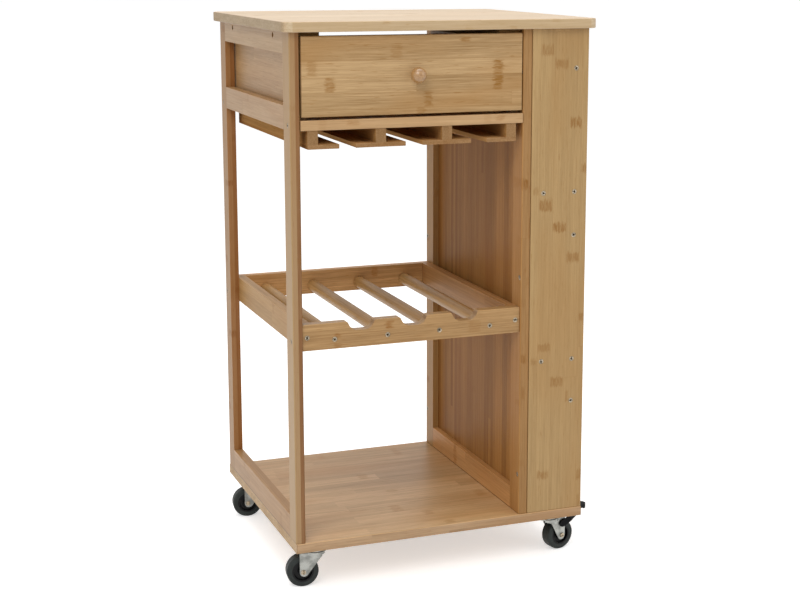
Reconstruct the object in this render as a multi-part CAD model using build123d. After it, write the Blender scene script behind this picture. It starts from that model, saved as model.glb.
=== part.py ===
from build123d import *
import os
from math import asin, atan2, cos, hypot, radians, sin, sqrt

# Kitchen trolley: a bamboo frame on four swivel casters, with a drawer, glass hangers,
# a bottle rack and a narrow shelf unit that opens to the right. Millimetres, +Z up,
# +X to the right along the front, +Y from the front to the back.
# The origin is on the floor, at the centre of the bounding box.

# Main frame
FRAME_WIDTH = 478.0
FRAME_DEPTH = 418.0
POST_HEIGHT = 770.0
STOCK = 15.0
POST_WIDTH = 35.0
POST_ROUND = 3.5
BAY_WIDTH = 353.0
EDGE_ROUND = 1.5

# Top and base boards
TOP_THICKNESS = 15.0
TOP_OVERHANG = 11.0
TOP_CORNER = 16.0
BASE_THICKNESS = 15.0
BASE_PROUD = 1.5

# Rails of the left frame and of the divider
TOP_RAIL_HEIGHT = 32.0
MIDDLE_RAIL_HEIGHT = 35.0
BOTTOM_RAIL_HEIGHT = 36.0

# Ring of rails and runners that carries the drawer, hung down from the top board
RING_DROP = 142.5
RING_RAIL_DEPTH = 30.0
RUNNER_WIDTH = 20.0

# Battens under the top board
CLEAT_WIDTH = 35.0
CLEAT_GAP = 2.0

# Thin panel in the rebate of the divider
PANEL_THICKNESS = 5.0
REBATE = 8.0
REBATE_GAP = 0.2

# Drawer
DRAWER_SIDE_GAP = 2.0
DRAWER_RUNNING_GAP = 0.3
FRONT_GAP_BELOW = 4.5
FRONT_GAP_ABOVE = 6.0
FRONT_ROUND = 2.0
DRAWER_BACK_ROOM = 18.0
DRAWER_WALL = 12.0
DRAWER_KICK_GAP = 12.0
DRAWER_BACK_DROP = 9.0
BOTTOM_THICKNESS = 4.0
BOTTOM_RAISE = 10.0
GROOVE_DEPTH = 6.0
GROOVE_GAP = 0.2

# Knob and its screw
BALL_RADIUS = 12.0
NECK_RADIUS = 6.0
NECK_LENGTH = 5.0
KNOB_BORE_DEPTH = 14.0
KNOB_SCREW_RADIUS = 2.0
KNOB_HEAD_RADIUS = 4.5
KNOB_HEAD_HEIGHT = 2.5
KNOB_HEAD_ROUND = 1.0
KNOB_TIP_GAP = 1.0

# Glass hangers
HANGER_INSET = 2.0
HANGER_BACK_INSET = 14.0
HANGER_PITCH = 105.0
SPACER_WIDTH = 16.0
SPACER_HEIGHT = 21.0
STRIP_THICKNESS = 6.5
STRIP_ROUND = 1.0
TEE_WIDTH = 78.0
ELL_WIDTH = 48.5

# Bottle rack
RACK_BOTTOM = 298.5
RACK_HEIGHT = 40.0
RACK_INSET = 5.0
ROD_RADIUS = 10.0
ROD_PITCH = 84.0
ROD_COUNT = 4
ROD_RISE = 14.5
SCALLOP_WIDTH = 44.0
SCALLOP_DEPTH = 14.0
SCALLOP_SLOPE = 7.0
SCALLOP_FOOT_ROUND = 14.0
SCALLOP_LIP_ROUND = 4.0
RACK_END_SCREW_RISE = 20.0

# Shelf unit at the right
UPPER_SHELF_BOTTOM = 509.5
LOWER_SHELF_BOTTOM = 241.0
GUARD_RADIUS = 7.5
GUARD_INSET = 21.0
GUARD_DROP = 61.0
SHELF_SCREW_INSET = 21.0

# Wood screws, countersunk
SCREW_RADIUS = 2.0
SCREW_HEAD_RADIUS = 4.0
SCREW_HEAD_DEPTH = 2.2
SCREW_SINK = 0.3
HOLE_GAP = 0.1
SCREW_LENGTH = 40.0
TOP_RAIL_SCREW_END = 88.0
TOP_RAIL_COUNTERBORE = 5.0
SIDE_SCREW_END = 65.0

# Casters
CASTER_HEIGHT = 68.0
CASTER_INSET_X = 40.0
CASTER_INSET_Y = 40.0
PLATE_SIZE = 46.0
PLATE_THICKNESS = 2.0
PLATE_CORNER = 5.0
RACE_RADIUS = 16.5
RACE_LIP = 2.0
RACE_GAP = 0.3
KING_PIN_RADIUS = 5.0
RIVET_RADIUS = 8.0
RIVET_HEIGHT = 1.6
PIN_GAP = 0.05
CROWN_DROP = 11.0
CROWN_RADIUS = 18.0
CROWN_SKIRT = 4.5
CROWN_ROUND = 1.2
FORK_STEEL = 2.0
FORK_BEND = 2.5
SHOULDER_DEPTH = 7.0
SHOULDER_NOSE = 10.0
SHOULDER_ROUND = 12.0
BRAKED_SHOULDER_NOSE = 2.0
LEG_END = 7.0
LEG_SHIFT = 1.5
TRAIL = 20.0
WHEEL_RADIUS = 25.0
WHEEL_WIDTH = 20.0
WHEEL_ROUND = 3.5
HUB_RADIUS = 17.0
HUB_WIDTH = 22.0
HUB_GAP = 0.5
HUB_BOSS = 7.0
HUB_RIM = 2.5
HUB_RECESS = 5.0
HUB_DRAFT = 1.0
AXLE_RADIUS = 3.0
AXLE_HEAD = 3.9
AXLE_HEAD_HEIGHT = 1.5
AXLE_HEAD_ROUND = 0.6
AXLE_DIMPLE = 1.6
AXLE_DIMPLE_DEPTH = 0.8
CASTER_SCREW_PITCH = 34.0
CASTER_SCREW_LENGTH = 13.0
CASTER_SCREW_HEAD = 4.0
CASTER_SCREW_HEAD_HEIGHT = 2.4
PLATE_HOLE = 2.5

# Brake lever: two cheeks with pegs in the fork's legs, joined by a pedal that curves up
BRAKE_PIVOT_X = 20.0
BRAKE_PIVOT_DROP = 22.0
BRAKE_PEG_RADIUS = 3.0
BRAKE_EYE = 6.0
BRAKE_CHEEK = 2.5
BRAKE_CHEEK_GAP = 0.4
BRAKE_WEB_X = 36.0
BRAKE_THICKNESS = 4.4
BRAKE_TIP_CENTRE = 68.5
BRAKE_TIP_RADIUS = 8.0
BRAKE_TIP_DROP = 2.8
BRAKE_TOE = 5.5
BRAKE_WALL_END = 58.0
BRAKE_WALL_DROP = 9.0

# Where each caster's wheel trails at rest, in degrees from +X, and which have a brake
CASTER_TURN = {"front_left": 173.0, "back_left": 173.0, "front_right": 12.0, "back_right": 15.0}
BRAKED = ("front_right", "back_right")

# Sizes that follow from the ones above
X_DIVIDER = STOCK + BAY_WIDTH
X_SIDE = X_DIVIDER + STOCK
X_BAY = STOCK + BAY_WIDTH / 2
Y_BACK_POST = FRAME_DEPTH - POST_WIDTH
Y_SIDE_BACK = FRAME_DEPTH - STOCK
RING_BOTTOM = POST_HEIGHT - RING_DROP
RING_TOP = RING_BOTTOM + STOCK
CLEAT_BOTTOM = POST_HEIGHT - STOCK
DRAWER_LEFT = STOCK + DRAWER_SIDE_GAP
DRAWER_RIGHT = X_DIVIDER - DRAWER_SIDE_GAP
DRAWER_BACK = FRAME_DEPTH - DRAWER_BACK_ROOM
FRONT_BOTTOM = RING_TOP + FRONT_GAP_BELOW
FRONT_TOP = POST_HEIGHT - FRONT_GAP_ABOVE
SIDE_BOTTOM = RING_TOP + DRAWER_RUNNING_GAP
SIDE_TOP = CLEAT_BOTTOM - DRAWER_KICK_GAP
BOTTOM_PANEL_Z = SIDE_BOTTOM + BOTTOM_RAISE
KNOB_Z = (FRONT_BOTTOM + FRONT_TOP) / 2
KNOB_OUT = NECK_LENGTH + 2 * BALL_RADIUS
RACK_TOP = RACK_BOTTOM + RACK_HEIGHT
RACK_BACK = FRAME_DEPTH - RACK_INSET
ROD_Z = RACK_BOTTOM + ROD_RISE
ROD_X = [X_BAY + ROD_PITCH * (i - (ROD_COUNT - 1) / 2) for i in range(ROD_COUNT)]
SCALLOP_X = [(a + b) / 2 for a, b in zip(ROD_X, ROD_X[1:])]
GUARD_X = FRAME_WIDTH - GUARD_INSET
GUARD_Z = [z - GUARD_DROP for z in (POST_HEIGHT, UPPER_SHELF_BOTTOM, LOWER_SHELF_BOTTOM)]
SHELF_Z = (UPPER_SHELF_BOTTOM, LOWER_SHELF_BOTTOM)
AXLE_DROP = CASTER_HEIGHT - WHEEL_RADIUS
LEG_INNER = HUB_WIDTH / 2 + HUB_GAP
LEG_OUTER = LEG_INNER + FORK_STEEL
CHEEK_INNER = LEG_OUTER + BRAKE_CHEEK_GAP
CHEEK_OUTER = CHEEK_INNER + BRAKE_CHEEK
CASTER_X = {"left": CASTER_INSET_X, "right": FRAME_WIDTH - CASTER_INSET_X}
CASTER_Y = {"front": CASTER_INSET_Y, "back": FRAME_DEPTH - CASTER_INSET_Y}

# The widest points: the top board at the left and at the back, the knob or the top board
# at the front, and a brake lever or the top board at the right
LEVER_TURN = min(abs(CASTER_TURN[name]) for name in BRAKED)
LEVER_REACH = BRAKE_TIP_CENTRE * cos(radians(LEVER_TURN)) + BRAKE_TIP_RADIUS
RIGHT_REACH = max(FRAME_WIDTH + TOP_OVERHANG, CASTER_X["right"] + LEVER_REACH)
FRONT_REACH = max(TOP_OVERHANG, KNOB_OUT)
LEFT_FACE_X = -(RIGHT_REACH - TOP_OVERHANG) / 2
FRONT_FACE_Y = -(FRAME_DEPTH + TOP_OVERHANG - FRONT_REACH) / 2
BASE_TOP_Z = CASTER_HEIGHT + BASE_THICKNESS

nodes = {}

# How a turned piece is held: by its foot, or by its head
STANDING = (Align.CENTER, Align.CENTER, Align.MIN)
HANGING = (Align.CENTER, Align.CENTER, Align.MAX)
# Cutting tools reach past the piece by this much, and edges within TOUCH of a place lie there
PAST = 100.0
TOUCH = 0.01


# Helpers. Pieces are built from the frame's lower front left corner, on top of the base board.
def block(x0, x1, y0, y1, z0, z1):
    corner = (Align.MIN, Align.MIN, Align.MIN)
    return Pos(x0, y0, z0) * Box(x1 - x0, y1 - y0, z1 - z0, align=corner)


def near(value, place):
    return abs(value - place) < TOUCH


def edges_at(piece, axis, **places):
    found = piece.edges().filter_by(axis)
    for name, place in places.items():
        found = [e for e in found if near(getattr(e.center(), name), place)]
    return found


def along(origin, direction):
    return Plane(origin=origin, z_dir=direction).location


def turned(*points):
    return revolve(Plane.XZ * make_face(Polyline(*points, close=True)), Axis.Z)


# Countersunk screws and their holes, pointing up from the face of the board that they enter.
# Each hole's mouth is long enough for the two that start at the bottom of a counterbore.
def screw():
    return turned(
        (0, SCREW_SINK),
        (SCREW_HEAD_RADIUS, SCREW_SINK),
        (SCREW_RADIUS, SCREW_SINK + SCREW_HEAD_DEPTH),
        (SCREW_RADIUS, SCREW_LENGTH),
        (0, SCREW_LENGTH),
    )


def screw_hole():
    mouth = -TOP_RAIL_COUNTERBORE - SCREW_SINK
    head = SCREW_HEAD_RADIUS + HOLE_GAP
    shank = SCREW_RADIUS + HOLE_GAP
    return turned(
        (0, mouth),
        (head, mouth),
        (head, SCREW_SINK),
        (shank, SCREW_SINK + SCREW_HEAD_DEPTH),
        (shank, SCREW_LENGTH + HOLE_GAP),
        (0, SCREW_LENGTH + HOLE_GAP),
    )


def left_side_screws():
    for y in (TOP_RAIL_SCREW_END, FRAME_DEPTH - TOP_RAIL_SCREW_END):
        yield (TOP_RAIL_COUNTERBORE, y, CLEAT_BOTTOM + STOCK / 2)
    for y in (RING_RAIL_DEPTH / 2, FRAME_DEPTH - RING_RAIL_DEPTH / 2):
        yield (0, y, RING_BOTTOM + STOCK / 2)
    for y in (RACK_INSET + STOCK / 2, RACK_BACK - STOCK / 2):
        yield (0, y, ROD_Z)


def divider_screws():
    for z in (SIDE_SCREW_END, POST_HEIGHT / 2, POST_HEIGHT - SIDE_SCREW_END):
        for y in (STOCK / 2, FRAME_DEPTH - STOCK / 2):
            yield (X_DIVIDER, y, z)


def rack_screws():
    for x in ROD_X:
        yield x, ROD_Z
    for x in (STOCK + STOCK / 2, X_DIVIDER - STOCK / 2):
        yield x, RACK_BOTTOM + RACK_END_SCREW_RISE


def side_unit_screws():
    for z in GUARD_Z:
        yield GUARD_X, z
    for z in SHELF_Z:
        for x in (X_SIDE + SHELF_SCREW_INSET, FRAME_WIDTH - SHELF_SCREW_INSET):
            yield x, z + STOCK / 2


def screw_places():
    for origin in [*left_side_screws(), *divider_screws()]:
        yield along(origin, (1, 0, 0))
    for found, front, back in (
        (rack_screws(), RACK_INSET, RACK_BACK),
        (side_unit_screws(), 0, FRAME_DEPTH),
    ):
        for x, z in found:
            yield along((x, front, z), (0, 1, 0))
            yield along((x, back, z), (0, -1, 0))


SCREWS = list(screw_places())
SCREW_HOLE = screw_hole()


def bored(piece):
    box = piece.bounding_box()
    holes = []
    for place in SCREWS:
        hole = place * SCREW_HOLE
        reach = hole.bounding_box()
        apart = (
            reach.min.X > box.max.X or reach.max.X < box.min.X
            or reach.min.Y > box.max.Y or reach.max.Y < box.min.Y
            or reach.min.Z > box.max.Z or reach.max.Z < box.min.Z
        )
        if not apart:
            holes.append(hole)
    return piece - holes if holes else piece


# Boards and frames
def top_board():
    board = block(
        -TOP_OVERHANG, FRAME_WIDTH + TOP_OVERHANG,
        -TOP_OVERHANG, FRAME_DEPTH + TOP_OVERHANG,
        POST_HEIGHT, POST_HEIGHT + TOP_THICKNESS,
    )
    board = fillet(board.edges().filter_by(Axis.Z), TOP_CORNER)
    faces = board.faces().sort_by(Axis.Z)
    return fillet(faces[0].edges() + faces[-1].edges(), EDGE_ROUND)


def caster_places():
    for name, turn in CASTER_TURN.items():
        end, side = name.split("_")
        yield name, Pos(CASTER_X[side], CASTER_Y[end], -BASE_THICKNESS) * Rot(0, 0, turn)


def plate_screw_places():
    half = CASTER_SCREW_PITCH / 2
    for y in CASTER_Y.values():
        for x in CASTER_X.values():
            for dx in (-half, half):
                for dy in (-half, half):
                    yield Pos(x + dx, y + dy, -BASE_THICKNESS)


def base_board():
    board = block(0, FRAME_WIDTH, -BASE_PROUD, FRAME_DEPTH + BASE_PROUD, -BASE_THICKNESS, 0)
    board = fillet(edges_at(board, Axis.X), EDGE_ROUND)
    depth = CASTER_SCREW_LENGTH - PLATE_THICKNESS + HOLE_GAP
    hole = Cylinder(SCREW_RADIUS + HOLE_GAP, depth, align=STANDING)
    return board - [place * hole for place in plate_screw_places()]


def post(x, y, outer_y):
    piece = block(x, x + STOCK, y, y + POST_WIDTH, 0, POST_HEIGHT)
    return fillet(edges_at(piece, Axis.Z, Y=outer_y), POST_ROUND)


def divider_panel():
    return block(
        X_SIDE - PANEL_THICKNESS, X_SIDE,
        POST_WIDTH - REBATE, Y_BACK_POST + REBATE,
        BOTTOM_RAIL_HEIGHT - REBATE, POST_HEIGHT - TOP_RAIL_HEIGHT + REBATE,
    )


def rebated(piece):
    deep = REBATE + REBATE_GAP
    return piece - block(
        X_SIDE - PANEL_THICKNESS - REBATE_GAP, X_SIDE + REBATE_GAP,
        POST_WIDTH - deep, Y_BACK_POST + deep,
        BOTTOM_RAIL_HEIGHT - deep, POST_HEIGHT - TOP_RAIL_HEIGHT + deep,
    )


def build_frame():
    nodes["top_board"] = top_board()
    nodes["base_board"] = base_board()
    nodes["front_left_post"] = bored(post(0, 0, 0))
    nodes["back_left_post"] = bored(post(0, Y_BACK_POST, FRAME_DEPTH))
    nodes["front_right_post"] = bored(rebated(post(X_DIVIDER, 0, 0)))
    nodes["back_right_post"] = bored(rebated(post(X_DIVIDER, Y_BACK_POST, FRAME_DEPTH)))
    heights = {
        "top": (POST_HEIGHT - TOP_RAIL_HEIGHT, POST_HEIGHT),
        "middle": (RING_BOTTOM, RING_BOTTOM + MIDDLE_RAIL_HEIGHT),
        "bottom": (0, BOTTOM_RAIL_HEIGHT),
    }
    for name, (z0, z1) in heights.items():
        nodes[f"left_{name}_rail"] = bored(block(0, STOCK, POST_WIDTH, Y_BACK_POST, z0, z1))
        rail = block(X_DIVIDER, X_SIDE, POST_WIDTH, Y_BACK_POST, z0, z1)
        nodes[f"divider_{name}_rail"] = rebated(rail)
    nodes["divider_panel"] = divider_panel()


# Ring under the drawer, and the battens under the top board
def build_drawer_carcass():
    back = FRAME_DEPTH - RING_RAIL_DEPTH
    front_rail = block(STOCK, X_DIVIDER, 0, RING_RAIL_DEPTH, RING_BOTTOM, RING_TOP)
    front_rail = fillet(edges_at(front_rail, Axis.X, Y=0), EDGE_ROUND)
    back_rail = block(STOCK, X_DIVIDER, back, FRAME_DEPTH, RING_BOTTOM, RING_TOP)
    nodes["front_drawer_rail"] = bored(front_rail)
    nodes["back_drawer_rail"] = bored(back_rail)
    runners = [
        block(x, x + RUNNER_WIDTH, RING_RAIL_DEPTH, back, RING_BOTTOM, RING_TOP)
        for x in (STOCK, X_DIVIDER - RUNNER_WIDTH)
    ]
    y0 = STOCK + CLEAT_GAP
    y1 = Y_SIDE_BACK - CLEAT_GAP
    cleats = [
        bored(block(x, x + CLEAT_WIDTH, y0, y1, CLEAT_BOTTOM, POST_HEIGHT))
        for x in (STOCK, X_DIVIDER - CLEAT_WIDTH)
    ]
    nodes["drawer_runners"] = Compound(runners)
    nodes["top_cleats"] = Compound(cleats)


# Drawer
def build_drawer():
    left_in = DRAWER_LEFT + DRAWER_WALL
    right_in = DRAWER_RIGHT - DRAWER_WALL
    groove = block(
        left_in - GROOVE_DEPTH, right_in + GROOVE_DEPTH,
        STOCK - GROOVE_DEPTH, DRAWER_BACK + GROOVE_GAP,
        BOTTOM_PANEL_Z - GROOVE_GAP / 2, BOTTOM_PANEL_Z + BOTTOM_THICKNESS + GROOVE_GAP / 2,
    )
    front = block(DRAWER_LEFT, DRAWER_RIGHT, 0, STOCK, FRONT_BOTTOM, FRONT_TOP)
    front = fillet(front.faces().sort_by(Axis.Y)[0].edges(), FRONT_ROUND)
    out = along((X_BAY, 0, KNOB_Z), (0, -1, 0))
    nodes["drawer_front"] = front - groove - out * Cylinder(KNOB_SCREW_RADIUS + HOLE_GAP, PAST)
    for name, x0 in (("left", DRAWER_LEFT), ("right", right_in)):
        side = block(x0, x0 + DRAWER_WALL, STOCK, DRAWER_BACK, SIDE_BOTTOM, SIDE_TOP)
        side = fillet(edges_at(side, Axis.Y, Z=SIDE_TOP), EDGE_ROUND)
        nodes[f"drawer_{name}_side"] = side - groove
    back_z0 = BOTTOM_PANEL_Z + BOTTOM_THICKNESS + GROOVE_GAP / 2
    nodes["drawer_back"] = block(
        left_in, right_in,
        DRAWER_BACK - DRAWER_WALL, DRAWER_BACK,
        back_z0, SIDE_TOP - DRAWER_BACK_DROP,
    )
    nodes["drawer_bottom"] = block(
        left_in - GROOVE_DEPTH + GROOVE_GAP, right_in + GROOVE_DEPTH - GROOVE_GAP,
        STOCK - GROOVE_DEPTH + GROOVE_GAP, DRAWER_BACK,
        BOTTOM_PANEL_Z, BOTTOM_PANEL_Z + BOTTOM_THICKNESS,
    )
    nodes["drawer_knob"] = out * knob()
    nodes["knob_screw"] = out * knob_screw()


def knob():
    ball_z = NECK_LENGTH + BALL_RADIUS
    neck = Cylinder(NECK_RADIUS, ball_z, align=STANDING)
    body = neck + Pos(0, 0, ball_z) * Sphere(BALL_RADIUS)
    return body - Cylinder(KNOB_SCREW_RADIUS + HOLE_GAP, KNOB_BORE_DEPTH, align=STANDING)


def knob_screw():
    length = STOCK + KNOB_BORE_DEPTH - KNOB_TIP_GAP
    shank = Pos(0, 0, -STOCK) * Cylinder(KNOB_SCREW_RADIUS, length, align=STANDING)
    head = Pos(0, 0, -STOCK) * Cylinder(KNOB_HEAD_RADIUS, KNOB_HEAD_HEIGHT, align=HANGING)
    return fillet((shank + head).edges().group_by(Axis.Z)[0], KNOB_HEAD_ROUND)


# Glass hangers: strips under narrow spacers, so that the feet of glasses slide in above them
def build_hangers():
    y0 = HANGER_INSET
    y1 = FRAME_DEPTH - HANGER_BACK_INSET
    z1 = RING_BOTTOM - SPACER_HEIGHT
    z0 = z1 - STRIP_THICKNESS
    half = SPACER_WIDTH / 2
    wing = ELL_WIDTH - half
    tee = TEE_WIDTH / 2
    spacers = []
    strips = []
    sides = ((-1.5, half, wing), (-0.5, tee, tee), (0.5, tee, tee), (1.5, wing, half))
    for place, left, right in sides:
        x = X_BAY + place * HANGER_PITCH
        spacers.append(block(x - half, x + half, y0, y1, z1, RING_BOTTOM))
        strip = block(x - left, x + right, y0, y1, z0, z1)
        strips.append(fillet(edges_at(strip, Axis.Y, Z=z0), STRIP_ROUND))
    nodes["hanger_spacers"] = Compound(spacers)
    nodes["hanger_strips"] = Compound(strips)


# Bottle rack: four rails round four rods, the front rail cut out for the bottle necks
def scallop(x):
    half = SCALLOP_WIDTH / 2
    foot = half - SCALLOP_SLOPE
    rim = half + 2 * SCALLOP_LIP_ROUND
    low = RACK_TOP - SCALLOP_DEPTH
    high = RACK_TOP + SCALLOP_DEPTH
    face = make_face(Polyline(
        (x - rim, high),
        (x - rim, RACK_TOP),
        (x - half, RACK_TOP),
        (x - foot, low),
        (x + foot, low),
        (x + half, RACK_TOP),
        (x + rim, RACK_TOP),
        (x + rim, high),
        close=True,
    ))
    for side, z, radius in ((foot, low, SCALLOP_FOOT_ROUND), (half, RACK_TOP, SCALLOP_LIP_ROUND)):
        corners = [v for v in face.vertices() if near(abs(v.X - x), side) and near(v.Y, z)]
        face = fillet(corners, radius)
    return Pos(0, RACK_INSET, 0) * extrude(Plane.XZ * face, amount=PAST, both=True)


def build_rack():
    front = block(STOCK, X_DIVIDER, RACK_INSET, RACK_INSET + STOCK, RACK_BOTTOM, RACK_TOP)
    front = front - [scallop(x) for x in SCALLOP_X]
    nodes["rack_front_rail"] = bored(front)
    back = block(STOCK, X_DIVIDER, RACK_BACK - STOCK, RACK_BACK, RACK_BOTTOM, RACK_TOP)
    nodes["rack_back_rail"] = bored(back)
    y0 = RACK_INSET + STOCK
    y1 = RACK_BACK - STOCK
    for name, x in (("left", STOCK), ("right", X_DIVIDER - STOCK)):
        side = block(x, x + STOCK, y0, y1, RACK_BOTTOM, RACK_TOP)
        nodes[f"rack_{name}_rail"] = bored(side)
    rod = Cylinder(ROD_RADIUS, y1 - y0, align=STANDING)
    rods = [bored(along((x, y0, ROD_Z), (0, 1, 0)) * rod) for x in ROD_X]
    nodes["rack_rods"] = Compound(rods)


# Shelf unit at the right
def build_side_unit():
    for name, y0, outer in (("front", 0, 0), ("back", Y_SIDE_BACK, FRAME_DEPTH)):
        board = block(X_SIDE, FRAME_WIDTH, y0, y0 + STOCK, 0, POST_HEIGHT)
        board = fillet(edges_at(board, Axis.Z, X=FRAME_WIDTH), EDGE_ROUND)
        nodes[f"side_{name}_board"] = bored(board)
    for name, z in (("upper", UPPER_SHELF_BOTTOM), ("lower", LOWER_SHELF_BOTTOM)):
        shelf = block(X_SIDE, FRAME_WIDTH, STOCK, Y_SIDE_BACK, z, z + STOCK)
        shelf = fillet(edges_at(shelf, Axis.Y, X=FRAME_WIDTH), EDGE_ROUND)
        nodes[f"{name}_shelf"] = bored(shelf)
    rod = Cylinder(GUARD_RADIUS, Y_SIDE_BACK - STOCK, align=STANDING)
    guards = [bored(along((GUARD_X, STOCK, z), (0, 1, 0)) * rod) for z in GUARD_Z]
    nodes["guard_rods"] = Compound(guards)


# Casters, each built about its swivel axis with the underside of the base board at zero
def caster_plate():
    plate = Box(PLATE_SIZE, PLATE_SIZE, PLATE_THICKNESS, align=HANGING)
    plate = fillet(plate.edges().filter_by(Axis.Z), PLATE_CORNER)
    half = CASTER_SCREW_PITCH / 2
    hole = Cylinder(PLATE_HOLE, PAST)
    plate -= [Pos(x, y, 0) * hole for x in (-half, half) for y in (-half, half)]
    race_bottom = -(CROWN_DROP - RACE_GAP)
    rivet_top = -(CROWN_DROP + FORK_STEEL + RACE_GAP)
    return plate + turned(
        (0, -PLATE_THICKNESS),
        (RACE_RADIUS - RACE_LIP, -PLATE_THICKNESS),
        (RACE_RADIUS, -PLATE_THICKNESS - RACE_LIP),
        (RACE_RADIUS, race_bottom),
        (KING_PIN_RADIUS, race_bottom),
        (KING_PIN_RADIUS, rivet_top),
        (RIVET_RADIUS, rivet_top),
        (RIVET_RADIUS, rivet_top - RIVET_HEIGHT),
        (0, rivet_top - RIVET_HEIGHT),
    )


# A leg seen from the side: a shoulder under the crown that curves into the tapered leg
def fork_side(nose):
    right = TRAIL - LEG_SHIFT + LEG_END
    low = -CROWN_DROP - SHOULDER_DEPTH
    end = Pos(TRAIL - LEG_SHIFT, -AXLE_DROP) * Circle(LEG_END)
    shoulder = Line((-nose, low), (right, low))
    crown = make_face(Polyline(
        (-CROWN_RADIUS, -CROWN_DROP),
        (right, -CROWN_DROP),
        (right, low),
        (-nose, low),
        (-CROWN_RADIUS, -CROWN_DROP - CROWN_SKIRT),
        close=True,
    ))
    side = make_hull(end.edges() + shoulder.edges()) + crown
    corner = [v for v in side.vertices() if near(v.X, -nose) and near(v.Y, low)]
    return fillet(corner, SHOULDER_ROUND)


def fork(braked):
    nose = BRAKED_SHOULDER_NOSE if braked else SHOULDER_NOSE
    side = extrude(Plane.XZ * fork_side(nose), amount=LEG_OUTER, both=True)
    side = fillet(edges_at(side, Axis.X, Z=-CROWN_DROP), FORK_BEND)
    disc = Pos(0, 0, -CROWN_DROP) * Cylinder(CROWN_RADIUS, CROWN_SKIRT, align=HANGING)
    behind = Box(PAST, PAST, 2 * PAST, align=(Align.MIN, Align.CENTER, Align.CENTER))
    side &= disc + Pos(-SHOULDER_NOSE, 0, 0) * behind
    body = side + fillet(disc.edges().group_by(Axis.Z)[-1], CROWN_ROUND)
    inside = -CROWN_DROP - FORK_STEEL
    body -= Pos(0, 0, inside) * Box(PAST, 2 * LEG_INNER, PAST, align=HANGING)
    body -= Pos(0, 0, inside) * Cylinder(CROWN_RADIUS - FORK_STEEL, PAST, align=HANGING)
    body += side - Box(2 * PAST, 2 * LEG_INNER, 2 * PAST)
    body -= Cylinder(KING_PIN_RADIUS + PIN_GAP, PAST)
    body -= along((TRAIL, 0, -AXLE_DROP), (0, 1, 0)) * Cylinder(AXLE_RADIUS + PIN_GAP, PAST)
    if braked:
        hole = Cylinder(BRAKE_PEG_RADIUS + PIN_GAP, PAST)
        body -= along((BRAKE_PIVOT_X, 0, -BRAKE_PIVOT_DROP), (0, 1, 0)) * hole
    return body


def axle():
    head = Cylinder(AXLE_HEAD, AXLE_HEAD_HEIGHT, align=STANDING)
    head = fillet(head.edges().group_by(Axis.Z)[-1], AXLE_HEAD_ROUND)
    head -= Pos(0, 0, AXLE_HEAD_HEIGHT) * Cylinder(AXLE_DIMPLE, AXLE_DIMPLE_DEPTH, align=HANGING)
    end = Pos(0, 0, LEG_OUTER) * head
    body = Cylinder(AXLE_RADIUS, 2 * LEG_OUTER) + end + Rot(180, 0, 0) * end
    return along((TRAIL, 0, -AXLE_DROP), (0, 1, 0)) * body


def hub():
    half = HUB_WIDTH / 2
    rim = WHEEL_WIDTH / 2
    web = half - HUB_RECESS
    side = [
        (AXLE_RADIUS + PIN_GAP, half),
        (HUB_BOSS, half),
        (HUB_BOSS + HUB_DRAFT, web),
        (HUB_RADIUS - HUB_RIM - HUB_DRAFT, web),
        (HUB_RADIUS - HUB_RIM, rim),
        (HUB_RADIUS, rim),
    ]
    other = [(r, -z) for r, z in reversed(side)]
    return along((TRAIL, 0, -AXLE_DROP), (0, 1, 0)) * turned(*side, *other)


def tyre():
    middle = (HUB_RADIUS + WHEEL_RADIUS) / 2
    outline = Pos(middle, 0) * Rectangle(WHEEL_RADIUS - HUB_RADIUS, WHEEL_WIDTH)
    outline = fillet([v for v in outline.vertices() if v.X > middle], WHEEL_ROUND)
    return along((TRAIL, 0, -AXLE_DROP), (0, 1, 0)) * revolve(Plane.XZ * outline, Axis.Z)


# The lever seen from above: straight cheeks, then sides that close in on the round tip
def lever_plan(inset):
    wide = CHEEK_OUTER - inset
    tip = BRAKE_TIP_RADIUS - inset
    run = BRAKE_TIP_CENTRE - BRAKE_WEB_X
    reach = hypot(run, wide)
    slope = asin(tip / reach) - atan2(wide, run)
    length = sqrt(reach**2 - tip**2)
    half = [
        (BRAKE_PIVOT_X - 2 * BRAKE_EYE, wide),
        (BRAKE_WEB_X, wide),
        (BRAKE_WEB_X + length * cos(slope), wide + length * sin(slope)),
    ]
    other = [(x, -y) for x, y in reversed(half)]
    sides = make_face(Polyline(*half, *other, close=True))
    return extrude(sides + Pos(BRAKE_TIP_CENTRE, 0) * Circle(tip), amount=PAST, both=True)


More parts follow.
